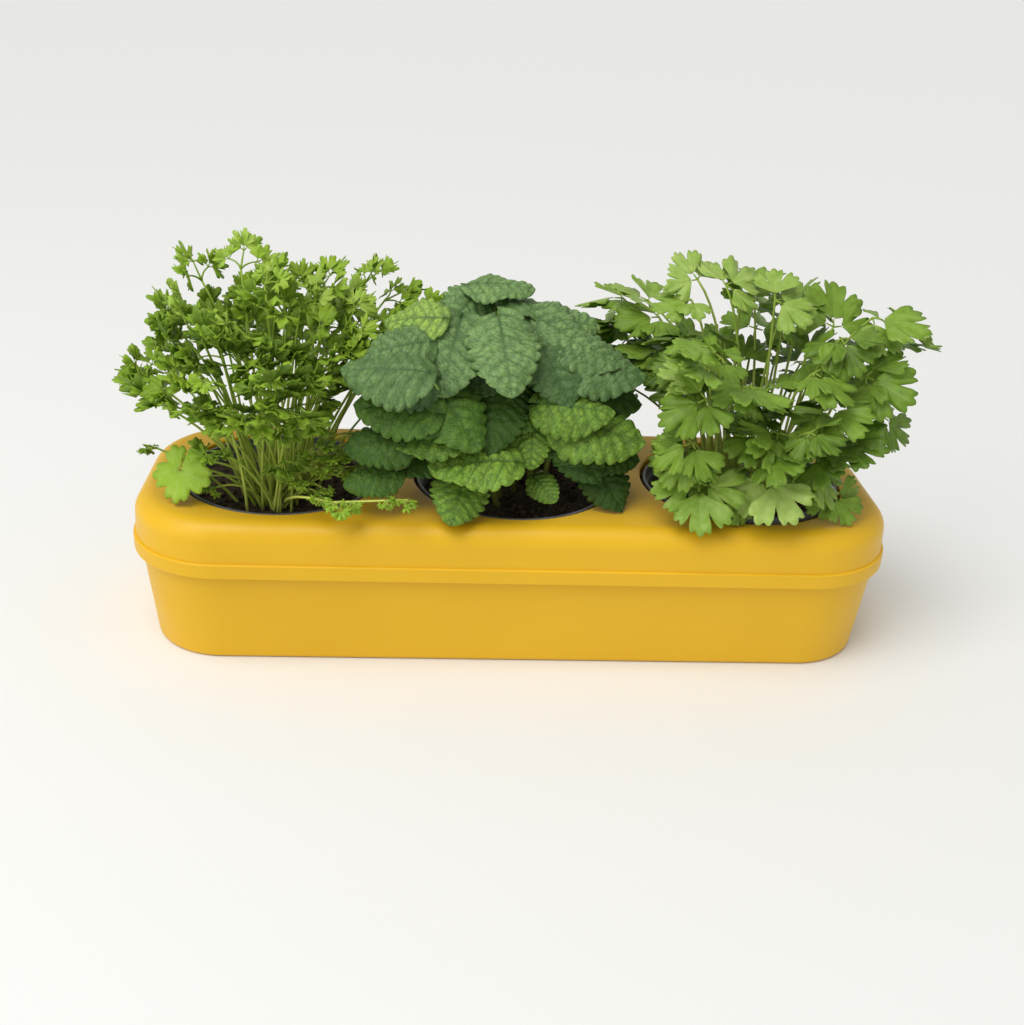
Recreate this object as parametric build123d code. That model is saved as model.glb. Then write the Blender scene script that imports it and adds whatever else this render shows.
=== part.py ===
"""Self-watering windowsill planter for three potted herbs, in millimetres.

A tapered reservoir tray holds the water. A perforated rack stands in it on posts and carries three round
seats. A felt strip goes down through each seat into the water and a felt disc lies on top of it, so a
pot standing on the disc draws water from below. A cover with three round openings closes the tray.

Frame: +Z up, X along the planter, -Y the front, origin at the middle of the tray's underside.
"""

import os
from math import atan2, cos, pi, radians, sin, sqrt, tan

from build123d import *

# Whole planter
LENGTH = 450.0
WIDTH = 160.0
HEIGHT = 90.0
PLAN_CORNER = 54.0  # corner radius of the widest outline, seen from above
WALL = 2.2
OVERCUT = 1.0  # how far a cutting shape runs past the face that it cuts
POT_PITCH = 140.0
SIDES = {"left": -POT_PITCH, "centre": 0.0, "right": POT_PITCH}

# Cover
BAND_LOW = 57.5  # the proud band that goes over the tray's rim
BAND_TOP = 66.5
BAND_PROUD = 1.5
BAND_WALL = 1.7
BAND_ROUND = (1.0, 0.6)  # rounding of its top and bottom edges
COVER_DRAFT = 2.0
TOP_ROUND = 11.0
OPENING_R = 61.5
COLLAR_DEPTH = 12.0
COLLAR_WALL = 2.0
LIP_ROUND = 1.3
COVER_RIB = (1.8, 10.0)  # thickness, depth

# Tray
TRAY_INSET = 4.0  # how far the tray's wall stands inside the band
TRAY_DRAFT = 6.5
RIM_TOP = 63.5
RIM_THICK = 2.0
RIM_GAP = 0.5  # between the rim's edge and the band
SEAT_GAP = 0.1  # between the rim's top and the cover's ledge
BASE_ROUND = 3.0
BASE_POCKET = 0.8
BASE_LAND = 14.0  # width of the base's bearing face around each pocket

# Rack
RACK_TOP = 16.0
RACK_THICK = 3.0
RACK_GAP = 5.5  # to the tray's wall
SEAT_R = 47.5
SEAT_RING = (1.8, 3.0)  # wall, height
POST_R = 4.0
POST_X = (70.0, 192.0)
POST_Y = 48.0
SEAT_DRAINS = 8
DRAIN_R = 3.5
DRAIN_RING_R = 35.0

# Felt
STRIP = (22.0, 1.5)  # width, thickness
STRIP_Y = 24.0
STRIP_END_Z = 3.0
STRIP_PLAY = 1.0  # how much larger than the strip its groove and slots are
MAT_R = 46.0
MAT_THICK = 2.5

# Pots
POT_R = 59.5
POT_BASE_R = 44.0
POT_HEIGHT = 70.0
POT_WALL = 1.0
POT_RIM = (7.0, 1.4)  # height, how far it stands out
POT_RIM_BORE = (0.6, 6.0)  # how much wider the pot is inside its rim, and how deep
POT_LIP_ROUND = 0.4
POT_HOLE_R = 4.0
POT_HOLE_RING_R = 30.0
POT_HOLES = 6
POT_Z = RACK_TOP + MAT_THICK + 0.1
CROOKED = 2.5  # the right pot stands this many degrees out of true, its near right side up
CROOKED_SHIFT = 2.9  # how far its base stands towards the near right, so that its rim stays in the middle
SOIL_DROP = 10.0  # from the pot's rim down to the soil
SOIL_GAP = 0.2

# Plants: each stalk ends under one leaf of a crown set out on a sunflower spiral
GOLDEN_ANGLE = pi * (3 - sqrt(5))
LEAF_THICK = 2.4
STALK_R = (1.7, 0.9)  # at the soil, under the leaf
FOOT_DEPTH = 2.0  # how far under the soil's face a stalk is drawn before it is cut off there
LEAF_SLOPE = (12.0, 50.0)  # degrees, in the middle of the crown and at its edge
STRAY_SLOPE = 8.0
PLANTS = {
    "curly_parsley": {
        "side": "left", "leaves": 16, "reach": (62.0, 66.0), "lean": (-14.0, -4.0),
        "top": 228.0, "droop": 78.0, "leaf": (29.0, 27.0), "spread": 0.30,
        "stray": (-90.0, 2.0, 150.0), "stray_spread": 0.30,
    },
    "lemon_balm": {
        "side": "centre", "leaves": 15, "reach": (50.0, 72.0), "lean": (0.0, -8.0),
        "top": 206.0, "droop": 84.0, "leaf": (34.0, 27.0), "spread": 0.24,
        "stray": (-30.0, -60.0, 106.0), "stray_spread": 0.62,
    },
    "flat_parsley": {
        "side": "right", "leaves": 16, "reach": (70.0, 68.0), "lean": (22.0, -4.0),
        "top": 222.0, "droop": 74.0, "leaf": (33.0, 30.0), "spread": 0.26,
        "stray": (99.0, 4.0, 190.0), "stray_spread": 0.26,
    },
}


def outline(inset, z=0.0):
    """The planter's rounded outline, drawn in by inset."""
    shape = RectangleRounded(LENGTH - 2 * inset, WIDTH - 2 * inset, PLAN_CORNER - inset)
    return Pos(0, 0, z) * shape


def slab(inset, low, high):
    return extrude(outline(inset, low), high - low)


def tapered(inset, low, high, draft):
    """A block from low to high whose walls lean by draft degrees. Its outline is inset at low."""
    return extrude(outline(inset, low), high - low, taper=draft)


def top_edges(part):
    return part.faces().sort_by(Axis.Z)[-1].edges()


def bottom_edges(part):
    return part.faces().sort_by(Axis.Z)[0].edges()


def column(radius, low, high, x=0.0, y=0.0):
    return Pos(x, y, low) * Cylinder(radius, high - low, align=(Align.CENTER, Align.CENTER, Align.MIN))


def block(size_x, size_y, low, high, x=0.0, y=0.0):
    return Pos(x, y, low) * Box(size_x, size_y, high - low, align=(Align.CENTER, Align.CENTER, Align.MIN))


def tray_inset(z):
    """How far the tray's outer wall stands inside the widest outline at height z."""
    return TRAY_INSET + (BAND_LOW - z) * tan(radians(TRAY_DRAFT))


def base_pockets():
    """The two shallow pockets in the underside, which leave a bearing face round them and between."""
    inset = tray_inset(0) + BASE_LAND
    length = (LENGTH - 2 * inset - BASE_LAND) / 2
    pocket = RectangleRounded(length, WIDTH - 2 * inset, PLAN_CORNER - inset)
    return [
        extrude(Pos(side * (length + BASE_LAND) / 2, 0, 0) * pocket, BASE_POCKET)
        for side in (-1, 1)
    ]


def make_tray():
    body = tapered(tray_inset(0), 0, RIM_TOP, -TRAY_DRAFT)
    body = fillet(bottom_edges(body), BASE_ROUND)
    body += slab(BAND_WALL + RIM_GAP, RIM_TOP - RIM_THICK, RIM_TOP)
    hollow = tapered(tray_inset(WALL) + WALL, WALL, RIM_TOP + OVERCUT, -TRAY_DRAFT)
    hollow = fillet(bottom_edges(hollow), BASE_ROUND)
    body -= hollow
    for pocket in base_pockets():
        body -= pocket
    return body


def make_cover():
    ledge_z = RIM_TOP + SEAT_GAP
    body = tapered(BAND_PROUD, BAND_TOP - OVERCUT, HEIGHT, COVER_DRAFT)
    body = fillet(top_edges(body), TOP_ROUND)
    band = slab(0, BAND_LOW, BAND_TOP)
    band = fillet(top_edges(band), BAND_ROUND[0])
    band = fillet(bottom_edges(band), BAND_ROUND[1])
    body += band
    inside = tapered(BAND_PROUD + WALL, ledge_z, HEIGHT - WALL, COVER_DRAFT)
    inside = fillet(top_edges(inside), TOP_ROUND - WALL)
    body -= inside
    body -= slab(BAND_WALL, BAND_LOW - OVERCUT, ledge_z)
    collar_low = HEIGHT - COLLAR_DEPTH
    for x in SIDES.values():
        body += column(OPENING_R + COLLAR_WALL, collar_low, HEIGHT - WALL / 2, x)
    rib_thick, rib_depth = COVER_RIB
    for x in (-POT_PITCH / 2, POT_PITCH / 2):
        body += block(rib_thick, WIDTH - 2 * TOP_ROUND, HEIGHT - rib_depth, HEIGHT - WALL / 2, x)
    for x in SIDES.values():
        body -= column(OPENING_R, BAND_LOW, HEIGHT + OVERCUT, x)
    lips = body.edges().filter_by(GeomType.CIRCLE).filter_by(
        lambda e: abs(e.radius - OPENING_R) < 0.01 and abs(e.center().Z - HEIGHT) < 0.01
    )
    return fillet(lips, LIP_ROUND)


def make_rack():
    inset = tray_inset(RACK_TOP - RACK_THICK) + WALL + RACK_GAP
    body = slab(inset, RACK_TOP - RACK_THICK, RACK_TOP)
    ring_wall, ring_height = SEAT_RING
    for x in SIDES.values():
        ring = column(SEAT_R + ring_wall, RACK_TOP - OVERCUT, RACK_TOP + ring_height, x)
        body += ring - column(SEAT_R, RACK_TOP - OVERCUT, RACK_TOP + ring_height, x)
    for x in POST_X:
        for side_x in (-1, 1):
            for side_y in (-1, 1):
                body += column(POST_R, WALL + SEAT_GAP, RACK_TOP - OVERCUT, side_x * x, side_y * POST_Y)
    strip_width, strip_thick = STRIP
    slot_width, slot_thick = strip_width + STRIP_PLAY, strip_thick + STRIP_PLAY
    for x in SIDES.values():
        body -= block(slot_width, 2 * STRIP_Y + strip_thick + slot_thick, RACK_TOP - strip_thick, RACK_TOP, x)
        for side in (-1, 1):
            body -= block(slot_width, slot_thick, 0, RACK_TOP, x, side * STRIP_Y)
        for i in range(SEAT_DRAINS):
            angle = (i + 0.5) * 2 * pi / SEAT_DRAINS
            body -= column(DRAIN_R, 0, RACK_TOP, x + DRAIN_RING_R * cos(angle), DRAIN_RING_R * sin(angle))
    return body


def make_strip(x):
    """A felt strip lying across its seat, with both ends hanging into the water."""
    width, thick = STRIP
    body = block(width, 2 * STRIP_Y + thick, RACK_TOP - thick, RACK_TOP, x)
    for side in (-1, 1):
        body += block(width, thick, STRIP_END_Z, RACK_TOP, x, side * STRIP_Y)
    return body


def make_mat(x):
    return column(MAT_R, RACK_TOP, RACK_TOP + MAT_THICK, x)


def pot_radius(z):
    """Outer radius of a pot's wall at height z above its base."""
    rim_out = POT_RIM[1]
    return POT_BASE_R + (POT_R - rim_out - POT_BASE_R) * z / POT_HEIGHT


def cup(low, high, inset):
    """A cone frustum that follows the pot's wall, inset from its outside."""
    frustum = Cone(
        pot_radius(low) - inset, pot_radius(high) - inset, high - low,
        align=(Align.CENTER, Align.CENTER, Align.MIN),
    )
    return Pos(0, 0, low) * frustum


def make_pot():
    rim_height = POT_RIM[0]
    body = cup(0, POT_HEIGHT, 0)
    body += column(POT_R, POT_HEIGHT - rim_height, POT_HEIGHT)
    body = fillet(top_edges(body), POT_LIP_ROUND)
    body -= cup(POT_WALL, POT_HEIGHT + OVERCUT, POT_WALL)
    step, depth = POT_RIM_BORE
    body -= column(pot_radius(POT_HEIGHT) - POT_WALL + step, POT_HEIGHT - depth, POT_HEIGHT + OVERCUT)
    for i in range(POT_HOLES):
        angle = i * 2 * pi / POT_HOLES
        x, y = POT_HOLE_RING_R * cos(angle), POT_HOLE_RING_R * sin(angle)
        body -= column(POT_HOLE_R, -OVERCUT, POT_WALL + OVERCUT, x, y)
    return body - column(POT_HOLE_R, -OVERCUT, POT_WALL + OVERCUT)


def make_soil():
    return cup(POT_WALL + SOIL_GAP, POT_HEIGHT - SOIL_DROP, POT_WALL + SOIL_GAP)


def leaf_outline(length, width):
    """A pointed oval, its stalk end at the origin and its tip along +X."""
    half = width / 2
    upper = ThreePointArc((0, 0), (length / 2, half), (length, 0))
    lower = ThreePointArc((length, 0), (length / 2, -half), (0, 0))
    return make_face([upper, lower])


def make_leaf(tip, heading, slope, length, width):
    """A leaf whose middle rests on the stalk's tip. It points along heading and falls by slope."""
    along = Vector(cos(heading) * cos(slope), sin(heading) * cos(slope), -sin(slope))
    normal = Vector(cos(heading) * sin(slope), sin(heading) * sin(slope), cos(slope))
    corner = Vector(*tip) - along * (length / 2)
    return Plane(origin=corner, x_dir=along, z_dir=normal) * extrude(leaf_outline(length, width), LEAF_THICK)


def make_stalk(foot, tip, soil_top):
    """A tapering stalk from below the soil's face to a little way into its leaf."""
    start = Vector(*foot)
    rise = Vector(*tip) - start
    reach = rise.length
    stalk = Cone(*STALK_R, reach, align=(Align.CENTER, Align.CENTER, Align.MIN))
    stalk = Plane(origin=start, z_dir=rise) * stalk
    return stalk - block(2 * POT_R, 2 * POT_R, 0, soil_top)


def crown(plant):
    """Each stalk's foot and tip and its leaf's heading and slope, from the middle of the crown out."""
    reach_x, reach_y = plant["reach"]
    lean_x, lean_y = plant["lean"]
    top = plant["top"] - POT_Z
    count = plant["leaves"]
    flattest, steepest = LEAF_SLOPE
    for i in range(count):
        share = sqrt((i + 0.5) / count)
        angle = i * GOLDEN_ANGLE
        x = lean_x + reach_x * share * cos(angle)
        y = lean_y + reach_y * share * sin(angle)
        z = top - plant["droop"] * share**2
        slope = radians(flattest + (steepest - flattest) * share)
        yield foot_under(x, y, plant["spread"]), (x, y, z), atan2(y, x), slope
    x, y, z = plant["stray"]
    yield foot_under(x, y, plant["stray_spread"]), (x, y, z - POT_Z), atan2(y, x), radians(STRAY_SLOPE)


def foot_under(x, y, spread):
    """A stalk's foot just below the soil, at a share of its tip's distance from the pot's axis."""
    return spread * x, spread * y, POT_HEIGHT - SOIL_DROP - FOOT_DEPTH


def make_plant(plant):
    """The stalks and the leaves of one herb, in its pot's frame."""
    soil_top = POT_HEIGHT - SOIL_DROP
    stalks, leaves = [], []
    for foot, tip, heading, slope in crown(plant):
        leaf = make_leaf(tip, heading, slope, *plant["leaf"])
        over_tip = Vector(*tip) + Vector(0, 0, LEAF_THICK / 3)
        leaves.append(leaf)
        stalks.append(make_stalk(foot, tuple(over_tip), soil_top) - leaf)
    return stalks, leaves


def pot_place(side):
    """Where the pot stands. The right one is tipped about the far left edge of its base."""
    place = Pos(SIDES[side], 0, POT_Z)
    if side != "right":
        return place
    far_left = (CROOKED_SHIFT - POT_BASE_R) * sqrt(0.5)
    hinge = Plane(origin=(far_left, -far_left, 0), x_dir=(1, 1, 0), z_dir=(0, 0, 1)).location
    shift = CROOKED_SHIFT * sqrt(0.5)
    return place * hinge * Rot(X=-CROOKED) * hinge.inverse() * Pos(shift, -shift, 0)


def write(name, *solids):
    """One STEP file per node. Alike pieces of one node go in as separate solids."""
    flat = [solid for shape in solids for solid in shape.solids()]
    shape = flat[0] if len(flat) == 1 else Compound(children=flat)
    export_step(shape, f"parts/{name}.step")


def main():
    os.makedirs("parts", exist_ok=True)
    write("reservoir_tray", make_tray())
    write("top_cover", make_cover())
    write("pot_rack", make_rack())
    for side, x in SIDES.items():
        write(f"wick_strip_{side}", make_strip(x))
        write(f"capillary_mat_{side}", make_mat(x))
        write(f"pot_{side}", pot_place(side) * make_pot())
        write(f"soil_{side}", pot_place(side) * make_soil())
    for name, plant in PLANTS.items():
        place = pot_place(plant["side"])
        stalks, leaves = make_plant(plant)
        write(f"{name}_stalks", *[place * stalk for stalk in stalks])
        write(f"{name}_leaves", *[place * leaf for leaf in leaves])


main()
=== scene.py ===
"""How the self-watering planter looks: its mouldings, felt and soil, and a herb in each pot.

The leaves are meshes grown in code. A parsley leaflet is a fan of lobes and teeth, and a lemon balm leaf is
an oval with a scalloped edge and a quilted face. Each herb keeps out of the space above its neighbours' pots,
so that every pot lifts straight out. Lengths are in metres. A herb's own lists are in millimetres from the
middle of its soil, with the height above the floor.
"""

import math
import random

import bpy
import numpy as np
from mathutils import Matrix, Vector


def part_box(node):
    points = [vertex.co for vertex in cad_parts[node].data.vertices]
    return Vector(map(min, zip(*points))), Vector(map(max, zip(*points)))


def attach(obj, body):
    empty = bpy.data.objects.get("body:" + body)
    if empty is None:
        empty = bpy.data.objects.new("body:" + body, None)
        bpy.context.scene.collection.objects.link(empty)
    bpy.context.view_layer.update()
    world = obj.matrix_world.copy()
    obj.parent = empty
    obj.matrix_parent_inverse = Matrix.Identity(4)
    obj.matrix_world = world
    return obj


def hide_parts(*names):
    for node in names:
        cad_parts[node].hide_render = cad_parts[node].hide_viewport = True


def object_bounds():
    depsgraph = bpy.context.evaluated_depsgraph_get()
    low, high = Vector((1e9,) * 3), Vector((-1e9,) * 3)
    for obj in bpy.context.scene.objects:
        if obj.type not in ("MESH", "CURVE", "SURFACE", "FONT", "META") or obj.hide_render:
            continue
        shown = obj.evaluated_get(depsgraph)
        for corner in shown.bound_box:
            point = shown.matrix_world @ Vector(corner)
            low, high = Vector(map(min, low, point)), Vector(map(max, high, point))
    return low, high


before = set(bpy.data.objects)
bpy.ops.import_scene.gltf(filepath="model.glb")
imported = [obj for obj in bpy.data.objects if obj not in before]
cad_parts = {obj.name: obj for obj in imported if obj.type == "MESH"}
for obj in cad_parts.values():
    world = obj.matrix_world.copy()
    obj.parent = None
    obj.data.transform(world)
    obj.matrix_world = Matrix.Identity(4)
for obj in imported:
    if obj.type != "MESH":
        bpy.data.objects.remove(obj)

MM = 0.001
UP = Vector((0, 0, 1))
GOLDEN_ANGLE = math.pi * (3 - math.sqrt(5))
CAD_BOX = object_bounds()
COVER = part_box("top_cover")
POTS = {side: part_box(f"pot_{side}") for side in ("left", "centre", "right")}
SHOULDER = 0.011                  # rounding along the cover's top edge
REACH_X = CAD_BOX[1].x + 0.010    # how far a leaf may reach to the left and right
REACH_Y = CAD_BOX[1].y + 0.010    # how far it may reach to the front and back
TALLEST = CAD_BOX[1].z + 0.004    # how high it may reach
OVERHANG_Z = 0.070                # the lowest that a leaf may hang beyond the cover's sides
CLEARANCE = 0.0012                # how far a leaf stays off what is under it
GAP = 0.0008                      # half the space kept between two herbs
PAST_POT = 0.0017                 # how far past a pot's side its neighbour's leaves stay
MIDDLE_LEFT = -0.105              # the middle herb's limit in front of the left pot
MIDDLE_RIGHT = 0.072              # its limit towards the right pot
OUTER_NEAR = 0.036                # how near to x = 0 the outer herbs may come behind the middle pot
STRIP_Y = -0.0705                 # the front strip kept for a stray stalk, up to STRIP_END along it
STRIP_END = -0.056


# ---------------------------------------------------------------- materials

class Shader:
    """A node material under construction."""

    def __init__(self, name):
        self.material = bpy.data.materials.new(name)
        self.material.use_nodes = True
        self.nodes = self.material.node_tree.nodes
        self.links = self.material.node_tree.links
        self.surface = self.nodes["Principled BSDF"]
        self.place = self.nodes.new("ShaderNodeTexCoord").outputs["Object"]

    def set(self, **values):
        for name, value in values.items():
            self.surface.inputs[name.replace("_", " ")].default_value = value

    def node(self, kind, **values):
        node = self.nodes.new(kind)
        for name, value in values.items():
            if name in node.inputs:
                node.inputs[name].default_value = value
            else:
                setattr(node, name, value)
        return node

    def noise(self, size, detail=3.0, roughness=0.5):
        """Noise whose blobs are about size metres across."""
        node = self.node("ShaderNodeTexNoise", Scale=1 / size, Detail=detail, Roughness=roughness)
        self.links.new(self.place, node.inputs["Vector"])
        return node.outputs["Fac"]

    def cells(self, size):
        """Distance to the edges of cells about size metres across."""
        node = self.node("ShaderNodeTexVoronoi", feature="DISTANCE_TO_EDGE", Scale=1 / size)
        self.links.new(self.place, node.inputs["Vector"])
        return node.outputs["Distance"]

    def attribute(self, name):
        return self.node("ShaderNodeAttribute", attribute_name=name).outputs["Fac"]

    def ramp(self, factor, *stops):
        """Colours or greys along a factor, from stops of (position, value)."""
        node = self.node("ShaderNodeValToRGB")
        elements = node.color_ramp.elements
        while len(elements) < len(stops):
            elements.new(0.5)
        for element, (position, value) in zip(elements, stops):
            element.position = position
            element.color = (*value, 1) if isinstance(value, tuple) else (value, value, value, 1)
        self.links.new(factor, node.inputs["Fac"])
        return node.outputs["Color"]

    def range(self, factor, low, high, from_low=0.0, from_high=1.0):
        """A factor stretched to run from low to high."""
        node = self.node("ShaderNodeMapRange")
        values = {"From Min": from_low, "From Max": from_high, "To Min": low, "To Max": high}
        for name, value in values.items():
            node.inputs[name].default_value = value
        self.links.new(factor, node.inputs["Value"])
        return node.outputs["Result"]

    def math(self, operation, a, b):
        node = self.node("ShaderNodeMath", operation=operation)
        for slot, value in zip(node.inputs, (a, b)):
            if isinstance(value, (int, float)):
                slot.default_value = value
            else:
                self.links.new(value, slot)
        return node.outputs["Value"]

    def mix(self, factor, a, b):
        """Colour a where the factor is 0 and b where it is 1."""
        node = self.node("ShaderNodeMix", data_type="RGBA")
        for slot, value in ((node.inputs[0], factor), (node.inputs[6], a), (node.inputs[7], b)):
            if isinstance(value, tuple):
                slot.default_value = (*value, 1)
            elif isinstance(value, (int, float)):
                slot.default_value = value
            else:
                self.links.new(value, slot)
        return node.outputs[2]

    def colour(self, value):
        self.links.new(value, self.surface.inputs["Base Color"])

    def roughness(self, value):
        self.links.new(value, self.surface.inputs["Roughness"])

    def bump(self, height, depth, strength=1.0):
        """Bump of depth metres. A second call adds to the first."""
        node = self.node("ShaderNodeBump", Strength=strength, Distance=depth)
        self.links.new(height, node.inputs["Height"])
        socket = self.surface.inputs["Normal"]
        if socket.is_linked:
            self.links.new(socket.links[0].from_socket, node.inputs["Normal"])
        self.links.new(node.outputs["Normal"], socket)


def yellow_plastic():
    """A satin moulding with a very fine grain, slightly rubbed in places."""
    shader = Shader("yellow_plastic")
    shader.set(Roughness=0.42, IOR=1.46, Specular_IOR_Level=0.36)
    shader.set(Subsurface_Weight=0.05, Subsurface_Scale=0.003)
    shader.surface.inputs["Subsurface Radius"].default_value = (1.0, 0.5, 0.05)
    cloud = shader.noise(0.16, 2)
    shader.colour(shader.ramp(cloud, (0.35, (0.75, 0.435, 0.012)), (0.65, (0.80, 0.472, 0.016))))
    rub = shader.math("MULTIPLY", shader.noise(0.022, 4), shader.noise(0.0025, 3))
    shader.roughness(shader.range(rub, 0.34, 0.5, 0.12, 0.42))
    shader.bump(shader.noise(0.0011, 2), 0.00003, 0.5)
    shader.bump(shader.noise(0.03, 1), 0.0002, 0.25)
    return shader.material


def dark_plastic(name, grey, roughness):
    """Thin dark plastic with a little dust and splashed soil on it."""
    shader = Shader(name)
    shader.set(Roughness=roughness, IOR=1.5)
    tint = (grey, grey * 1.01, grey * 1.03)
    dust = (grey * 1.5, grey * 1.42, grey * 1.32)
    speck = (grey * 0.35, grey * 0.26, grey * 0.18)
    dusty = shader.mix(shader.range(shader.noise(0.012, 4), 0.0, 0.6, 0.45, 0.75), tint, dust)
    shader.colour(shader.mix(shader.range(shader.noise(0.0022, 5), 0.0, 0.8, 0.62, 0.70), dusty, speck))
    shader.roughness(shader.range(shader.noise(0.004, 3), roughness - 0.08, roughness + 0.12))
    shader.bump(shader.noise(0.0008, 2), 0.00004, 0.6)
    return shader.material


def felt():
    """Grey felt, matted and stained where it is wet."""
    shader = Shader("felt")
    shader.set(Roughness=0.95, Sheen_Weight=0.4, Sheen_Roughness=0.5)
    fibres = shader.noise(0.0007, 5, 0.7)
    blotch = shader.noise(0.009, 3)
    base = shader.ramp(fibres, (0.3, (0.36, 0.36, 0.35)), (0.7, (0.72, 0.72, 0.70)))
    shader.colour(shader.mix(shader.range(blotch, 0.0, 0.35), base, (0.42, 0.40, 0.34)))
    shader.bump(fibres, 0.0005, 0.9)
    return shader.material


def soil():
    """Damp dark potting soil with paler bits of fibre."""
    shader = Shader("soil")
    shader.set(Roughness=0.9, Specular_IOR_Level=0.3)
    grain = shader.noise(0.0022, 6, 0.7)
    clod = shader.noise(0.009, 4)
    tone = shader.math("ADD", grain, shader.range(shader.attribute("tone"), -0.12, 0.16))
    damp, loam, fibre = (0.016, 0.011, 0.008), (0.070, 0.045, 0.028), (0.26, 0.17, 0.10)
    base = shader.ramp(tone, (0.28, damp), (0.50, loam), (0.78, fibre))
    shader.colour(shader.mix(shader.range(clod, 0.0, 0.5), base, (0.035, 0.024, 0.016)))
    shader.bump(grain, 0.0012, 0.9)
    return shader.material


def leaf_material(name, dark, light, bright, vein, roughness, quilt=0.0):
    """A leaf's face, with the size of its puckers as quilt.

    The mesh gives each leaf a tone, its own shade mixed with painted light and shade, lighter on the upper
    leaves and darker on the lower, and marks the veins as vein.
    """
    shader = Shader(name)
    shader.set(Roughness=roughness, IOR=1.42, Specular_IOR_Level=0.28)
    shader.set(Subsurface_Weight=0.2, Subsurface_Scale=0.0012)
    shader.surface.inputs["Subsurface Radius"].default_value = (0.6, 1.0, 0.1)
    patch = shader.math("ADD", shader.attribute("tone"), shader.range(shader.noise(0.006, 4), -0.25, 0.25))
    # Painted light and shade: a low tone gives a dark, shaded leaf and a high one a bright, lit leaf
    face = shader.ramp(patch, (0.05, dark), (0.55, light), (1.0, bright))
    if quilt:
        edge = shader.cells(quilt)
        # Painted shade: the face darkens towards the dark colour along the cell edges, in the creases between
        # the puckers
        face = shader.mix(shader.ramp(edge, (0.0, 0.34), (0.06, 0.16), (0.16, 0.0)), face, dark)
        shader.bump(shader.ramp(edge, (0.0, 0.0), (0.20, 0.8), (0.5, 1.0)), quilt * 0.10, 0.8)
    shader.colour(shader.mix(shader.attribute("vein"), face, vein))
    shader.roughness(shader.range(shader.noise(0.003, 3), roughness - 0.09, roughness + 0.12))
    shader.bump(shader.attribute("vein"), -0.0002, 0.7)
    shader.bump(shader.noise(0.0012, 3), 0.00015, 0.6)
    return shader.material


def stalk_material(name, low, high):
    """A stalk, paler or redder at its foot, with fine ribs along it."""
    shader = Shader(name)
    shader.set(Roughness=0.42, IOR=1.42, Specular_IOR_Level=0.3)
    shader.set(Subsurface_Weight=0.2, Subsurface_Scale=0.0015)
    shader.surface.inputs["Subsurface Radius"].default_value = (0.6, 1.0, 0.1)
    along = shader.math("ADD", shader.attribute("tone"), shader.range(shader.noise(0.005, 3), -0.12, 0.12))
    shader.colour(shader.ramp(along, (0.05, low), (0.75, high)))
    shader.bump(shader.attribute("vein"), 0.0001, 0.6)
    return shader.material


def paint(node, material):
    """Gives a moulding, felt or soil plug its material."""
    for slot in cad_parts[node].material_slots:
        slot.material = material


# ---------------------------------------------------------------- meshes

class Patchwork:
    """Grids of points gathered into one mesh, with a tone and a vein value at each point."""

    def __init__(self):
        self.points, self.faces, self.tone, self.vein = [], [], [], []
        self.count = 0

    def add(self, grid, tone, vein, tube=False):
        """Adds a grid of points. A tube's last column joins its first, and its ends are closed."""
        rows, columns = grid.shape[:2]
        index = np.arange(rows * columns).reshape(rows, columns) + self.count
        across = np.concatenate([index, index[:, :1]], axis=1) if tube else index
        quads = np.stack([across[:-1, :-1], across[1:, :-1], across[1:, 1:], across[:-1, 1:]], axis=-1)
        self.faces += quads.reshape(-1, 4).tolist()
        if tube:
            self.faces += [index[0].tolist(), index[-1, ::-1].tolist()]
        self.points.append(grid.reshape(-1, 3))
        self.tone.append(np.broadcast_to(tone, (rows, columns)).reshape(-1))
        self.vein.append(np.broadcast_to(vein, (rows, columns)).reshape(-1))
        self.count += rows * columns

    def add_disc(self, grid, tone):
        """Adds rings of points as a closed disc with a flat underside. The first ring is one point."""
        rings, spokes = grid.shape[:2]
        index = np.arange(rings * spokes).reshape(rings, spokes) + self.count - spokes + 1
        ahead = np.roll(index, -1, axis=1)
        self.faces += [[self.count, int(a), int(b)] for a, b in zip(index[1], ahead[1])]
        quads = np.stack([index[1:-1], index[2:], ahead[2:], ahead[1:-1]], axis=-1)
        self.faces += quads.reshape(-1, 4).tolist()
        self.faces.append(index[-1, ::-1].tolist())
        points = np.concatenate([grid[0, :1], grid[1:].reshape(-1, 3)])
        self.points.append(points)
        self.tone.append(np.full(len(points), tone))
        self.vein.append(np.zeros(len(points)))
        self.count += len(points)

    def make(self, name, *materials, thickness=0.0):
        """The object. A thickness closes each sheet into a leaf, whose underside has the second material."""
        mesh = bpy.data.meshes.new(name)
        mesh.from_pydata(np.concatenate(self.points).tolist(), [], self.faces)
        for key, values in (("tone", self.tone), ("vein", self.vein)):
            layer = mesh.attributes.new(key, "FLOAT", "POINT")
            layer.data.foreach_set("value", np.concatenate(values).astype(np.float32))
        for material in materials:
            mesh.materials.append(material)
        mesh.polygons.foreach_set("use_smooth", [True] * len(mesh.polygons))
        piece = bpy.data.objects.new(name, mesh)
        bpy.context.scene.collection.objects.link(piece)
        if thickness:
            solid = piece.modifiers.new("thickness", "SOLIDIFY")
            solid.thickness = thickness
            solid.offset = -1
            solid.material_offset = 1
        return piece


def frame_of(along, up=UP, roll=0.0):
    """Axes of a leaf: x along it, z out of its face, turned about x by roll."""
    x = along.normalized()
    z = up - up.dot(x) * x
    if z.length < 1e-4:
        z = Vector((1, 0, 0)) - x.x * x
    z.normalize()
    axes = Matrix((x, z.cross(x), z)).transposed()
    return axes @ Matrix.Rotation(roll, 3, "X")


def put(grid, axes, place):
    """Moves a grid from a leaf's own axes to its place."""
    return grid @ np.array(axes).T + np.array(place)


def bezier(start, bend, end, count):
    """Points along a curve with one handle."""
    t = np.linspace(0, 1, count)[:, None]
    a, b, c = np.array(start), np.array(bend), np.array(end)
    return (1 - t) ** 2 * a + 2 * t * (1 - t) * b + t**2 * c


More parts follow.
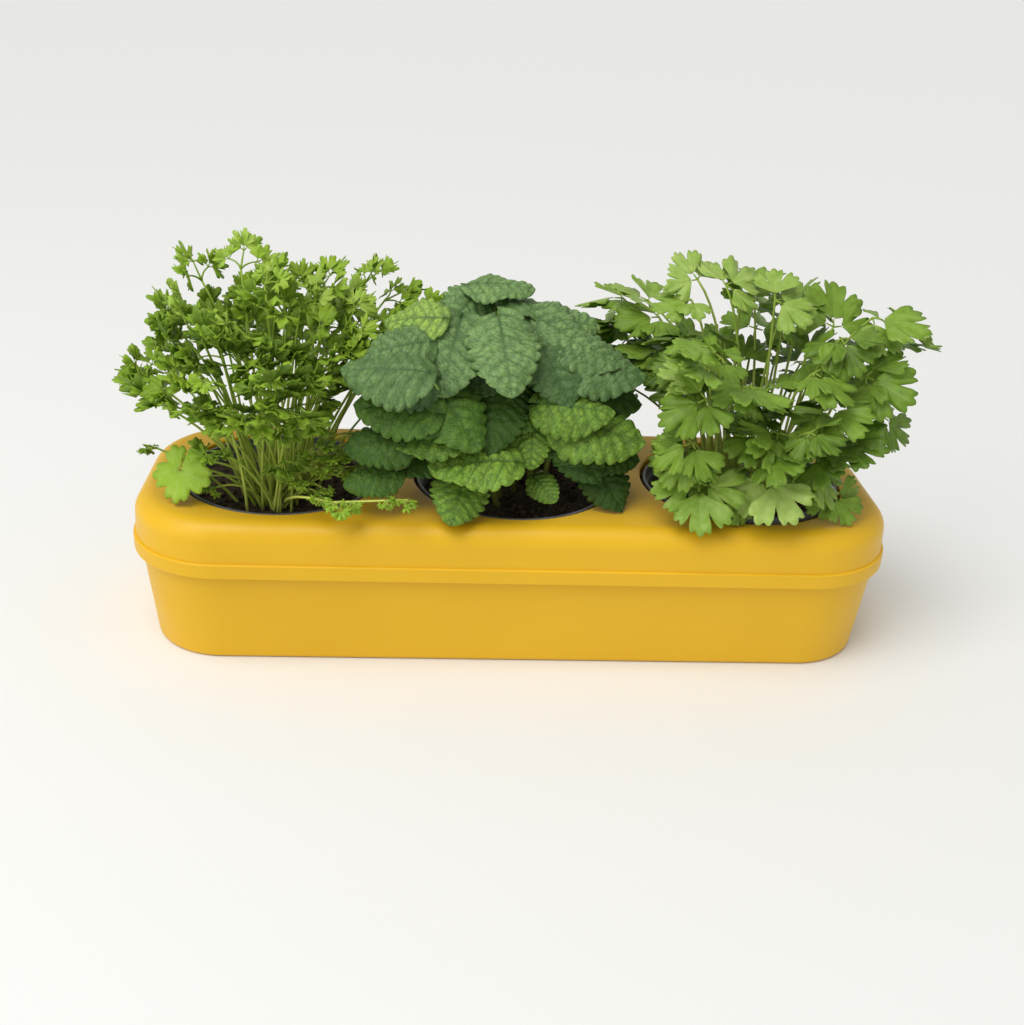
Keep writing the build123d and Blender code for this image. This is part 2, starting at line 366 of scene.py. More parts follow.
def tube(patch, line, radii, tone, sides=7, ribs=0.0):
    """A round or ribbed tube along a line of points, with a radius at each."""
    line = np.asarray(line, float)
    ahead = np.gradient(line, axis=0)
    ahead /= np.linalg.norm(ahead, axis=1)[:, None]
    side = np.cross(ahead[0], (0.3, 0.2, 1.0) if abs(ahead[0][2]) < 0.9 else (1.0, 0.1, 0.0))
    rings = []
    angle = np.linspace(0, 2 * np.pi, sides, endpoint=False)
    for point, forward, radius in zip(line, ahead, radii):
        side = side - side.dot(forward) * forward
        side /= np.linalg.norm(side)
        other = np.cross(forward, side)
        reach = radius * (1 + ribs * np.cos(4 * angle))
        round_axis = np.cos(angle)[:, None] * side + np.sin(angle)[:, None] * other
        rings.append(point + reach[:, None] * round_axis)
    stripe = np.cos(angle * 3) * 0.5 + 0.5
    if np.ndim(tone):
        tone = np.asarray(tone)[:, None]
    patch.add(np.array(rings), tone, stripe[None, :], tube=True)


# ---------------------------------------------------------------- leaves

def fan_leaflet(size, spread, rng, cleft, tooth, teeth=3, lobes=3, ruffle=0.06, point=0.0,
                rows=8, per_tooth=4):
    """A wedge-shaped leaflet: a fan of lobes, parted by narrow clefts, whose rim is cut into teeth.

    cleft and tooth are depths as shares of its size. The teeth are round where point is 0 and pointed where
    it is 1. Returns the leaflet's points and how strongly each lies on a vein.
    """
    columns = lobes * teeth * per_tooth + 1
    u = np.linspace(-1, 1, columns)[None, :]
    rho = np.linspace(0.05, 1, rows)[:, None] ** 0.9
    # 0 in the middle of each lobe and 1 in the clefts
    side = np.abs((u * lobes / 2 + 0.5) % 1 - 0.5) * 2
    from_cleft = (1 - side) / lobes
    skew = rng.uniform(-0.12, 0.12)
    whole = size * (1 - 0.17 * np.abs(u) ** 1.6 + skew * u)
    notch = np.exp(-((from_cleft / 0.05) ** 2)) * (np.abs(u) < 1 - 0.6 / lobes)
    rounding = 0.11 * side**2 + 0.10 * np.clip(np.abs(u) - 0.8, 0, 1) / 0.2
    from_tip = np.abs((u * lobes * teeth / 2 + 0.5) % 1 - 0.5) * 2
    scallop = (1 - point) * (1 - np.abs(np.cos(np.pi * lobes * teeth * u / 2)) ** 0.5) + point * from_tip
    rim = whole * (1 - cleft * notch - rounding) * (1 - tooth * scallop)
    reach = whole * (1 - cleft) + (rim - whole * (1 - cleft)) * rho**2
    theta = spread * u * (1 + 0.10 * rho)
    x, y = rho * reach * np.cos(theta), rho * reach * np.sin(theta)
    phase = rng.uniform(0, 2 * np.pi)
    wave = np.sin(u * np.pi * lobes * 0.8 + phase) * rho**2
    ripple = np.sin(u * np.pi * lobes * teeth * 0.5 + 2 * phase) * rho**3
    bow = rng.uniform(-0.04, 0.26)
    fold = rng.uniform(0.02, 0.20)
    rib = 0.008 * rho * (1 - side) * (1 - rho)
    z = size * (ruffle * (0.7 * wave + 0.45 * ripple) - bow * rho**2 + fold * np.abs(u) * rho - rib)
    across = side / lobes * spread * rho * reach
    vein = np.exp(-((across / 0.00028) ** 2)) * (1 - 0.8 * rho)
    off_tip = from_tip / (lobes * teeth) * spread * rho * reach
    fine = 0.22 * np.exp(-((off_tip / 0.00025) ** 2)) * rho
    return np.stack(np.broadcast_arrays(x, y, z), axis=-1), np.broadcast_to(np.maximum(vein, fine), x.shape)


def balm_leaf(length, width, bend, rng):
    """A broad oval leaf, arched down, with a scalloped edge, sunk veins and a puckered face.

    Returns its points and how strongly each lies on a vein.
    """
    rows, columns, teeth, puckers = 49, 23, 8, 120
    t = np.linspace(0, 1, rows)[:, None]
    s = np.linspace(-1, 1, columns)[None, :]
    oval = np.sin(np.pi * t**0.70) ** 0.60
    scallop = np.abs(np.sin(np.pi * teeth * t)) ** 0.55
    half = width / 2 * oval * (1 + 0.16 * (scallop - 0.75) * np.abs(s) ** 3)
    half = np.maximum(half, width * 0.012)
    lobed = 0.13 * length * s**2 * (1 - t) ** 3
    along = length * t - lobed
    y = s * half
    # Side veins leave the midrib and sweep forward to the edge
    pairs = 6.5
    phase = pairs * (t**0.9 - 0.66 * np.abs(y) / length) + 0.15
    off_vein = np.abs(phase - np.round(phase)) * length / pairs * 0.8
    pillow = 1 - np.exp(-((off_vein / (0.05 * length)) ** 2))
    away = np.clip(np.abs(y) / (0.06 * width), 0, 1)
    # Puckers between the veins
    seeds = [(rng.uniform(-0.05, 1.05) * length, rng.uniform(-0.55, 0.55) * width) for _ in range(puckers)]
    flat = np.stack(np.broadcast_arrays(along, y), axis=-1)
    gaps = np.sort(np.linalg.norm(flat[:, :, None, :] - np.array(seeds), axis=-1), axis=-1)
    between = gaps[..., 1] - gaps[..., 0]
    pucker = np.clip(between / (0.05 * length), 0, 1) ** 0.6
    relief = 0.050 * length * (0.62 * pillow * away + 0.38 * pucker) * (1 - 0.5 * np.abs(s) ** 3)
    fold, cross = rng.uniform(0.02, 0.22), rng.uniform(0.10, 0.24)
    wave = 0.05 * width * np.sin(2 * np.pi * (1.7 * t + rng.uniform(0, 1))) * s * np.abs(s)
    height = relief + wave + fold * np.abs(y) - cross * width * s**2 * oval
    arc = bend * along / length
    x = length * np.sin(arc) / bend + height * np.sin(arc)
    z = -length * (1 - np.cos(arc)) / bend + height * np.cos(arc)
    midrib = np.exp(-((y / 0.0007) ** 2)) * (1 - 0.6 * t)
    side_vein = 0.85 * np.exp(-((off_vein / 0.0006) ** 2)) * (1 - 0.4 * np.abs(s))
    # The net of creases between the puckers counts as vein and takes the vein colour; on the top faces that
    # colour is painted shade
    net = 0.62 * np.exp(-((between / 0.00055) ** 2))
    vein = np.clip(np.maximum(np.maximum(midrib, side_vein), net), 0, 1)
    return np.stack(np.broadcast_arrays(x, y, z), axis=-1), vein


# ---------------------------------------------------------------- herbs

def skirt(side, outward, y, limit):
    """A line just outside a pot, as its x at each y. Where the pot curves away from it, it stays at limit."""
    low, high = POTS[side]
    middle, clear = (low.x + high.x) / 2, (high.y - low.y) / 2 + PAST_POT
    x = middle + outward * np.sqrt(np.maximum(clear**2 - y**2, 0))
    return np.maximum(x, limit) if outward > 0 else np.minimum(x, limit)


def between_herbs(y, front, back, turn=0.006):
    """A line between two herbs that follows one curve in front of the pots and another behind them."""
    share = np.clip((y + turn) / (2 * turn), 0, 1)
    return front * (1 - share) + back * share


def herb_sides(side, y):
    """How far a herb may spread to the left and right at each y, clear of its neighbours' pots and leaves.

    The middle herb spreads in front of the outer ones, and they spread behind it. A stray stalk of the left
    one lies along the strip at the very front.
    """
    behind = skirt("centre", -1, y, -OUTER_NEAR)
    first = between_herbs(y, skirt("left", 1, y, MIDDLE_LEFT), behind)
    first = np.where(y < STRIP_Y, STRIP_END, first)
    second = between_herbs(y, np.full_like(y, MIDDLE_RIGHT), -behind)
    far = np.full_like(y, REACH_X)
    spans = {"left": (-far, first - GAP), "centre": (first + GAP, second - GAP), "right": (second + GAP, far)}
    return spans[side]


FOOT_REACH = 46.0    # how far from the middle of the soil a stalk may leave it, in millimetres


class Herb:
    """One pot's plant: its own random draws, its leaves in an upper and a lower mass, and its stalks."""

    def __init__(self, side, seed, split):
        self.side = side
        self.rng = random.Random(seed)
        self.axes = soil_top(f"soil_{side}")
        self.middle = self.axes.translation
        pot_low, pot_high = POTS[side]
        self.rim = (pot_high.y - pot_low.y) / 2
        self.rim_top = pot_high.z
        self.split = split * MM
        self.upper, self.lower, self.stalks = Patchwork(), Patchwork(), Patchwork()

    def at(self, x, y, z):
        """A place given in millimetres from the pot's middle, with its height above the floor."""
        return Vector((self.middle.x + x * MM, self.middle.y + y * MM, z * MM))

    def foot(self, x, y):
        """A place just under the soil's face, in millimetres from its middle and within FOOT_REACH of it."""
        scale = min(1.0, FOOT_REACH / max(math.hypot(x, y), 1.0))
        return self.axes @ Vector((x * scale * MM, y * scale * MM, -0.002))

    def ground(self, x, y):
        """The lowest height that a leaf may have: over the soil, the pot's rim or the cover."""
        r = np.hypot(x - self.middle.x, y - self.middle.y)
        out = np.clip(np.abs(y) - (COVER[1].y - SHOULDER - 0.0008), 0, SHOULDER)
        cover = COVER[1].z - SHOULDER + np.sqrt(SHOULDER**2 - out**2)
        cover = np.where(out >= SHOULDER, OVERHANG_Z, cover)
        over_rim = np.where(r < self.rim + 0.003, self.rim_top, cover)
        return np.where(r < self.rim - 0.009, self.middle.z + 0.001, over_rim) + CLEARANCE

    def settle(self, grids):
        """How far a leaf moves so that it stays in its own space and off the planter."""
        x, y, z = np.concatenate([grid.reshape(-1, 3) for grid in grids]).T
        front = -REACH_Y
        if self.side == "centre" and x.min() < STRIP_END + GAP:
            front = STRIP_Y + GAP
        dy = max(0.0, front - y.min()) - max(0.0, y.max() - REACH_Y)
        low, high = herb_sides(self.side, y + dy)
        dx = max(0.0, (low - x).max()) - max(0.0, (x - high).max())
        dz = max(0.0, (self.ground(x + dx, y + dy) - z).max()) - max(0.0, z.max() - TALLEST)
        return Vector((dx, dy, dz))

    def mass(self, height):
        """The mass that a leaf at this height belongs to."""
        return self.upper if height > self.split else self.lower

    def settled(self, blades, stems, height, stem_tone=0.8):
        """Adds a leaf's blades and stems once it has settled, and returns how far it moved."""
        shift = self.settle([grid for grid, _, _ in blades])
        for grid, tone, vein in blades:
            self.mass(height).add(grid + np.array(shift), tone, vein)
        for line, first, last in stems:
            tube(self.stalks, line + np.array(shift), np.linspace(first, last, len(line)), stem_tone, sides=5)
        return shift

    def leaf(self, blades, stems, end, foot, radius, **path):
        """Adds a leaf and its stalk, which comes from the soil and has a radius in millimetres."""
        shift = self.settled(blades, stems, end.z)
        self.stalk(foot, end + shift, radius * MM, radius * 0.62 * MM, **path)

    def stalk(self, foot, tip, radius, end_radius, belly=0.55, rise=0.62, toned=(0.0, 0.6)):
        """A stalk that leaves the soil steeply and bends out to its tip."""
        sway, count = 0.004, 11
        out = tip - foot
        handle = foot + Vector((out.x * (1 - belly) * 0.6, out.y * (1 - belly) * 0.6, out.z * rise))
        handle += Vector((self.rng.uniform(-sway, sway), self.rng.uniform(-sway, sway), 0))
        line = bezier(foot, handle, tip, count)
        tone = np.linspace(*toned, count) + self.rng.uniform(0, 0.35)
        tube(self.stalks, line, np.linspace(radius, end_radius, count), tone)

    def fill(self, count, reach, top, fall, deep, centre=(0, 0)):
        """Places in millimetres, spread evenly over a dome and up to deep under it.

        The dome is fall lower at its edge, at reach, than at its top. Each place comes with how far out
        it is, as a share of the reach.
        """
        for k in range(count):
            share = math.sqrt((k + 0.5) / count)
            angle = k * GOLDEN_ANGLE + self.rng.uniform(-0.2, 0.2)
            x = centre[0] + reach[0] * share * math.cos(angle)
            y = centre[1] + reach[1] * share * math.sin(angle)
            yield x, y, top - fall * share**2 - self.rng.uniform(0, deep), share

    def finish(self, name, face, underside, stalk, thickness, shaded_lower_face=None):
        """Makes the herb's three pieces, which stand for its two CAD nodes. The last argument, if given,
        colours the lower leaves with a darker copy of the face, as painted shade under the upper ones.
        """
        upper = self.upper.make(f"{name}_upper_leaves", face, underside, thickness=thickness)
        lower = self.lower.make(f"{name}_lower_leaves", shaded_lower_face or face, underside, thickness=thickness)
        stems = self.stalks.make(f"{name}_stems", stalk)
        pieces = ((upper, "leaves", "leaf"), (lower, "leaves", "leaf"), (stems, "stalks", "stalk"))
        for piece, node, slot in pieces:
            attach(piece, f"herb_{self.side}")
            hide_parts(f"{name}_{node}")


def soil_top(node):
    """The middle of a soil plug's top face, as a matrix whose z is the face's normal."""
    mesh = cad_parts[node].data
    tops = [face for face in mesh.polygons if face.normal.z > 0.95]
    area = sum(face.area for face in tops)
    middle = sum((face.center * face.area for face in tops), Vector()) / area
    normal = sum((face.normal * face.area for face in tops), Vector()).normalized()
    axes = frame_of(Vector((1, 0, 0)), normal).to_4x4()
    axes.translation = middle
    return axes


def leaf_axes(heading, pitch, roll=0.0):
    """Axes of a leaf that points along heading (0 is +X, -90 the front), tipped up by pitch. In degrees."""
    h, p = math.radians(heading), math.radians(pitch)
    along = Vector((math.cos(h) * math.cos(p), math.sin(h) * math.cos(p), math.sin(p)))
    return frame_of(along, UP, math.radians(roll))


def facing(heading, y, lean=30):
    """The roll in degrees that turns the face of a leaf on the front side towards the front."""
    return lean * math.cos(math.radians(heading)) if y < 0 else 0.0


def turned(axes, swing, tilt=0.0, roll=0.0):
    """Axes turned in their own plane by swing, then tipped by tilt and rolled. In degrees."""
    swing = Matrix.Rotation(math.radians(swing), 3, "Z")
    tilt = Matrix.Rotation(math.radians(-tilt), 3, "Y")
    roll = Matrix.Rotation(math.radians(roll), 3, "X")
    return axes @ swing @ tilt @ roll


SMALL_LEAF = 0.014    # a smaller curly leaf has coarser teeth


def curly_leaf(herb, end, axes, size, tone):
    """A curly parsley leaf: three branches, each with three small ruffled fans."""
    rng = herb.rng
    blades, stems = [], []
    per_tooth = 4 if size > SMALL_LEAF else 2
    for turn, share in ((0, 1.0), (60, 0.88), (-60, 0.88)):
        branch = turned(axes, turn + rng.uniform(-10, 10), rng.uniform(-18, 26))
        away = end + branch.col[0] * size * 0.42 * share
        bend = end + (axes.col[0] * 0.25 + branch.col[0] * 0.3) * size * 0.4
        stems.append((bezier(end, bend, away, 5), 0.00065, 0.00045))
        for fan_turn, fan_share in ((0, 1.0), (56, 0.86), (-56, 0.86)):
            swing, tilt, roll = fan_turn + rng.uniform(-12, 12), rng.uniform(-20, 34), rng.uniform(-38, 38)
            local = turned(branch, swing, tilt, roll)
            radius = size * 0.44 * share * fan_share * rng.uniform(0.88, 1.14)
            start = away + local.col[0] * radius * 0.22
            spread, ruffle = math.radians(rng.uniform(52, 68)), rng.uniform(0.12, 0.22)
            grid, vein = fan_leaflet(radius, spread, rng, cleft=0.46, tooth=0.24, teeth=2, ruffle=ruffle,
                                     rows=4, per_tooth=per_tooth)
            blades.append((put(grid, local, start), tone + rng.uniform(-0.10, 0.10), vein * 0.4))
            stems.append((bezier(away, away + local.col[0] * radius * 0.1, start, 3), 0.00045, 0.0003))
    return blades, stems


CURLY_FRONT = (
    # x, y and height where the stalk ends, size, heading and pitch of the leaf
    (-21, 6, 212, 27, 70, 62), (-6, -8, 207, 24, 20, 50), (-43, 4, 205, 27, 150, 58),
    (-45, -22, 192, 26, 190, 45), (-74, -14, 152, 24, 165, 40), (-56, -38, 142, 34, 190, 12),
    (-70, -22, 112, 13, 180, 0), (12, 8, 190, 28, 60, 50), (42, 2, 180, 31, 25, 48),
    (32, -20, 166, 27, -20, 35), (42, 14, 158, 26, 20, 35), (-18, -24, 184, 28, 240, 35),
    (2, -46, 168, 30, -80, 20), (-10, -56, 148, 36, -95, 2), (18, -50, 140, 32, -60, 8),
    (-34, -46, 164, 28, 220, 15), (6, -48, 118, 20, -70, -8), (-28, -52, 124, 22, 230, -5),
    (26, -38, 122, 20, -40, 0), (36, 40, 178, 28, 40, 30), (58, 60, 180, 30, 20, 30),
    (76, 62, 168, 30, 10, 20), (46, 54, 192, 27, 40, 45), (64, 66, 150, 28, 20, 10),
    (66, 52, 164, 28, 0, 30), (22, 22, 196, 28, 50, 50), (-28, -34, 178, 28, 200, 30),
    (16, -36, 154, 28, -50, 25), (-20, -40, 142, 26, -110, 15), (28, 22, 182, 29, 40, 45),
    (-58, 2, 176, 28, 170, 45),
)

CURLY_LYING = (
    # x, y and height where each low stalk ends, heading and size of its leaf
    (46, -34, 104, -30, 10), (48, -28, 100, -10, 9), (42, -40, 108, -50, 11), (38, -46, 100, -60, 10),
    (48, -20, 106, 0, 11), (28, -52, 97, -80, 9), (50, -14, 99, 10, 9), (44, -30, 112, -20, 12),
    (46, -6, 104, 15, 11), (-40, -30, 98, 200, 13), (-46, -18, 102, 190, 13), (-34, -40, 96, 220, 11),
)

# The stray stalk leaves the soil at the first point, bends at the second and runs straight after the third
STRAY = ((4, -34, 84), (10, -62, 105), (34, -76, 105), (77, -79, 109))


def curly_parsley():
    """Many thin stalks fan out from near the front of the pot, with a thrice-divided leaf on each."""
    herb = Herb("left", 11, 160)
    rng = herb.rng
    for x, y, z, size, heading, pitch in CURLY_FRONT:
        end = herb.at(x, y, z)
        foot = herb.foot(0.24 * x - 2 + rng.uniform(-8, 8), 0.30 * y - 18 + rng.uniform(-8, 8))
        axes = leaf_axes(heading + rng.uniform(-10, 10), pitch, rng.uniform(-15, 15))
        # Painted light and shade: the tone rises with height, so higher leaves are lighter and lower ones
        # darker
        tone = 0.28 + 0.38 * (z - 100) / 125 + rng.uniform(-0.10, 0.12)
        herb.leaf(*curly_leaf(herb, end, axes, size * MM, tone), end, foot, 1.0)
    for x, y, z, share in herb.fill(46, reach=(72, 70), top=202, fall=50, deep=34, centre=(-4, 4)):
        end = herb.at(x, y, z)
        foot = herb.foot(0.26 * x - 2 + rng.uniform(-10, 10), 0.34 * y - 12 + rng.uniform(-10, 10))
        heading = math.degrees(math.atan2(y, x)) + rng.uniform(-35, 35)
        axes = leaf_axes(heading, 62 - 48 * share + rng.uniform(-14, 14), rng.uniform(-20, 20))
        # Painted light and shade: the tone rises with height, so higher leaves are lighter and lower ones
        # darker
        tone = 0.18 + 0.34 * (z - 100) / 125 + rng.uniform(-0.12, 0.12)
        herb.leaf(*curly_leaf(herb, end, axes, rng.uniform(27, 34) * MM, tone), end, foot, 0.9)
    # One round first leaf leans over the near left of the rim
    end = herb.at(-52, -46, 110)
    grid, vein = fan_leaflet(0.020, math.radians(164), rng, cleft=0.12, tooth=0.14, lobes=5)
    blade = (put(grid, leaf_axes(-108, -52, 4), end), 0.56, vein * 0.8)
    herb.leaf([blade], [], end, herb.foot(-12, -30), 0.9, rise=0.95, toned=(0.5, 0.0))
    # Low stalks arch over to the sides, and one lies right along the front of the cover
    lying = list(CURLY_LYING)
    for k in range(16):
        turn, reach = math.radians(-78 + 6 * k), rng.uniform(46, 56)
        place = (reach * math.cos(turn), reach * math.sin(turn), rng.uniform(94, 118))
        lying.append((*place, math.degrees(turn), rng.uniform(8, 13)))
    for x, y, z, heading, size in lying:
        end = herb.at(x, y, z)
        foot = herb.foot(rng.uniform(-8, 6), -28 + rng.uniform(-7, 7))
        leaf = curly_leaf(herb, end, leaf_axes(heading, rng.uniform(-10, 15)), size * MM, 0.5)
        herb.leaf(*leaf, end, foot, 1.0, belly=0.3, rise=1.25, toned=(0.0, 0.1))
    stray = np.array([herb.at(*place) for place in STRAY])
    straight = bezier(stray[2], (stray[2] + stray[3]) / 2, stray[3], 8)
    line = np.concatenate([bezier(*stray[:3], 9)[:-1], straight])
    tube(herb.stalks, line, np.linspace(0.0009, 0.0005, len(line)), 0.15)
    for place, heading, size in ((7, -100, 8), (9, -80, 15), (10, -110, 9), (13, -60, 8), (15, -70, 12)):
        start = Vector(line[place])
        leaf = curly_leaf(herb, start, leaf_axes(heading, -25), size * MM, 0.45)
        herb.settled(*leaf, start.z, 0.6)
    herb.finish(
        "curly_parsley",
        leaf_material("curly_parsley_leaf", (0.070, 0.130, 0.006), (0.28, 0.44, 0.028), (0.48, 0.62, 0.15),
                      (0.34, 0.46, 0.09), 0.45),
        leaf_material("curly_parsley_underside", (0.07, 0.13, 0.010), (0.19, 0.30, 0.030), (0.36, 0.46, 0.10),
                      (0.28, 0.38, 0.08), 0.55),
        stalk_material("curly_parsley_stalk", (0.58, 0.64, 0.13), (0.26, 0.40, 0.04)),
        0.0003,
    )


def flat_leaf(herb, end, axes, size, tone, roll=22):
    """A flat parsley leaf: a lobed leaflet at the end of its stalk and one on each side."""
    rng = herb.rng
    blades, stems = [], []
    for turn, gap, share in ((0, 0.22, 1.0), (70, 0.20, 0.84), (-70, 0.20, 0.84)):
        local = turned(axes, turn + rng.uniform(-9, 9), rng.uniform(-20, 14), rng.uniform(-roll, roll))
        start = end + local.col[0] * size * gap
        radius = size * share * rng.uniform(0.90, 1.10)
        spread = math.radians(rng.uniform(54, 68))
        cleft, ruffle = rng.uniform(0.24, 0.40), rng.uniform(0.03, 0.09)
        grid, vein = fan_leaflet(radius, spread, rng, cleft=cleft, tooth=0.115, ruffle=ruffle, point=0.4)
        blades.append((put(grid, local, start), tone + rng.uniform(-0.08, 0.08), vein * 0.55))
        stems.append((bezier(end, end + local.col[0] * size * gap * 0.5, start, 4), 0.0006, 0.0004))
    return blades, stems


FLAT_FRONT = (
    # x, y and height where the stalk ends, size, heading, pitch, and tone, the leaf's own shade together with
    # painted light and shade
    (-40, 0, 216, 19, 120, 45, 0.75), (-54, -8, 206, 19, 200, 20, 0.60), (-24, -4, 214, 22, 40, 22, 0.70),
    (-10, 16, 210, 23, 60, 12, 0.55), (4, -10, 208, 24, 0, 8, 0.68), (42, -6, 192, 24, 75, 50, 0.42),
    (62, -12, 200, 27, -20, 8, 0.55), (88, 0, 196, 19, -10, -8, 0.80), (72, 10, 170, 15, 10, 0, 0.62),
    (74, -24, 144, 22, -15, -20, 0.40), (34, -46, 158, 26, -75, -5, 0.40),
    (4, -54, 144, 27, -90, -12, 0.46), (44, -42, 138, 28, -60, -15, 0.30),
    (-46, -44, 172, 24, -120, 0, 0.66), (-16, -56, 172, 27, -100, -6, 0.46),
    (-72, -62, 166, 24, 200, -12, 0.44), (-62, -62, 196, 23, -110, 10, 0.52),
    (-52, -60, 134, 23, -120, -18, 0.52), (-82, 62, 186, 24, 185, 5, 0.60),
    (-84, -66, 142, 22, 210, -14, 0.48), (-96, -70, 186, 22, 190, 0, 0.55),
    (-72, 56, 172, 26, 170, 0, 0.44), (-90, 68, 170, 25, 195, -8, 0.52), (-68, 66, 158, 25, 200, -10, 0.36),
    (-64, 30, 184, 24, 180, 10, 0.50), (-66, 16, 166, 25, 190, 0, 0.40), (-60, 44, 190, 23, 150, 15, 0.62),
    (0, -62, 122, 30, -82, -30, 0.78), (-50, -62, 116, 27, -100, -56, 0.62),
    (42, -54, 106, 19, -65, -52, 0.50), (56, -34, 172, 25, -40, -10, 0.36), (90, 20, 176, 23, 10, 0, 0.44),
    (-14, -62, 101, 10, -80, -50, 0.45), (28, -56, 122, 21, -50, -30, 0.55),
    (-26, -50, 118, 22, -120, -20, 0.30),
)


FLAT_OPEN = (48, 168)    # the outer side beyond this x is bare below this height


def flat_parsley():
    """Thin pale stalks with broad toothed leaflets in threes."""
    herb = Herb("right", 23, 160)
    rng = herb.rng
    for x, y, z, size, heading, pitch, tone in FLAT_FRONT:
        end = herb.at(x, y, z)
        foot = herb.foot(0.30 * x + rng.uniform(-8, 8), 0.36 * y - 6 + rng.uniform(-8, 8))
        heading += rng.uniform(-24, 24)
        roll = facing(heading, y) + rng.uniform(-18, 18)
        axes = leaf_axes(heading, pitch + rng.uniform(-22, 8), roll)
        herb.leaf(*flat_leaf(herb, end, axes, size * MM, tone, 14), end, foot, 1.05, rise=0.8)
    for x, y, z, share in herb.fill(46, reach=(78, 72), top=212, fall=46, deep=52, centre=(4, 2)):
        if x > FLAT_OPEN[0] and z < FLAT_OPEN[1]:
            continue
        end = herb.at(x, y, z)
        foot = herb.foot(0.34 * x + rng.uniform(-8, 8), 0.40 * y - 4 + rng.uniform(-8, 8))
        heading = math.degrees(math.atan2(y, x)) + rng.uniform(-35, 35)
        roll = facing(heading, y) + rng.uniform(-22, 22)
        axes = leaf_axes(heading, 36 - 46 * share + rng.uniform(-28, 20), roll)
        # Painted light and shade: the tone rises with height, so higher leaves are lighter and lower ones
        # darker
        tone = 0.12 + 0.38 * (z - 100) / 125 + rng.uniform(-0.16, 0.20)
        herb.leaf(*flat_leaf(herb, end, axes, rng.uniform(19, 25) * MM, tone), end, foot, 1.0, rise=0.8)
    herb.finish(
        "flat_parsley",
        leaf_material("flat_parsley_leaf", (0.046, 0.096, 0.006), (0.195, 0.325, 0.032), (0.48, 0.62, 0.18),
                      (0.30, 0.42, 0.08), 0.38),
        leaf_material("flat_parsley_underside", (0.06, 0.12, 0.012), (0.18, 0.29, 0.035), (0.36, 0.47, 0.12),
                      (0.30, 0.40, 0.10), 0.52),
        stalk_material("flat_parsley_stalk", (0.50, 0.56, 0.12), (0.26, 0.38, 0.045)),
        0.0003,
    )


BALM_STEMS = (
    # x, y and height of each stem's top
    (-14, -2, 196), (-36, -20, 178), (8, -16, 178), (-40, -44, 146), (24, -30, 150), (-14, 22, 178),
    (18, 22, 166), (-40, 30, 150),
)

FRONT_Y = -22    # the leaves that stand further forward than this are the ones listed below

BALM_FRONT = (
    # x, y and height of the leaf's middle, heading, pitch, length, bend, tone, the leaf's own shade together
    # with painted light and shade
    (-12, 0, 207, -8, -2, 38, 0.4, 0.55), (-32, -10, 194, -120, -34, 38, 0.7, 0.46),
    (-64, -22, 191, 168, -16, 36, 0.5, 0.96), (-40, -36, 176, -105, -46, 50, 0.6, 0.44),
    (-12, -44, 180, -80, -46, 50, 0.6, 0.52), (16, -20, 187, -35, -26, 46, 0.5, 0.50),
    (-90, -58, 172, 178, -8, 48, 0.5, 0.34), (-68, -52, 162, -170, -22, 38, 0.6, 0.14),
    (-72, -60, 150, 176, -4, 46, 0.35, 0.52), (-40, -60, 148, -50, -36, 52, 0.4, 0.54),
    (-52, -60, 136, -165, -10, 48, 0.4, 0.70), (-28, -64, 122, -170, -6, 48, 0.4, 0.92),
    (-34, -66, 104, -100, -32, 38, 0.6, 0.82), (16, -36, 166, -60, -50, 40, 0.7, 0.20),
    (30, -46, 150, -15, -6, 44, 0.4, 0.84), (46, -30, 168, -8, -10, 50, 0.4, 0.32),
    (58, -46, 136, -14, -12, 52, 0.4, 0.84), (62, -24, 150, -5, -14, 48, 0.4, 0.34),
    (6, -46, 128, -95, -52, 27, 0.4, 0.94), (-2, -40, 142, -20, -8, 30, 0.4, 0.60),
    (14, -50, 103, -60, -24, 22, 0.4, 0.88), (50, -44, 102, -50, -46, 34, 0.6, 0.14),
    (-6, -30, 150, -90, -40, 36, 0.6, 0.10), (-60, -50, 120, -160, -24, 38, 0.5, 0.22),
    (-80, -60, 132, -172, -16, 40, 0.5, 0.30), (-84, -64, 112, -165, -18, 32, 0.5, 0.52),
    (34, -44, 118, -50, -36, 34, 0.6, 0.20), (66, -34, 118, -10, -16, 34, 0.5, 0.26),
    (-30, -48, 112, -120, -40, 32, 0.6, 0.18), (-20, 6, 188, 195, -24, 40, 0.6, 0.50),
    (6, 0, 196, 30, -16, 38, 0.5, 0.46), (44, -8, 160, 0, -14, 42, 0.5, 0.34),
    (-62, -24, 158, -160, -18, 40, 0.5, 0.30), (36, -26, 178, -20, -22, 42, 0.5, 0.42),
    (-70, -42, 180, -160, -16, 38, 0.6, 0.42), (30, -8, 186, 12, -12, 38, 0.6, 0.60),
    (-30, -20, 132, -120, -40, 46, 0.5, 0.14), (20, -14, 138, -60, -40, 42, 0.5, 0.14),
    (-50, -30, 116, -150, -30, 42, 0.5, 0.18), (-6, -14, 166, -90, -46, 46, 0.6, 0.26),
    (-14, -44, 140, -110, -40, 40, 0.6, 0.24), (26, -40, 126, -40, -30, 36, 0.5, 0.34),
)


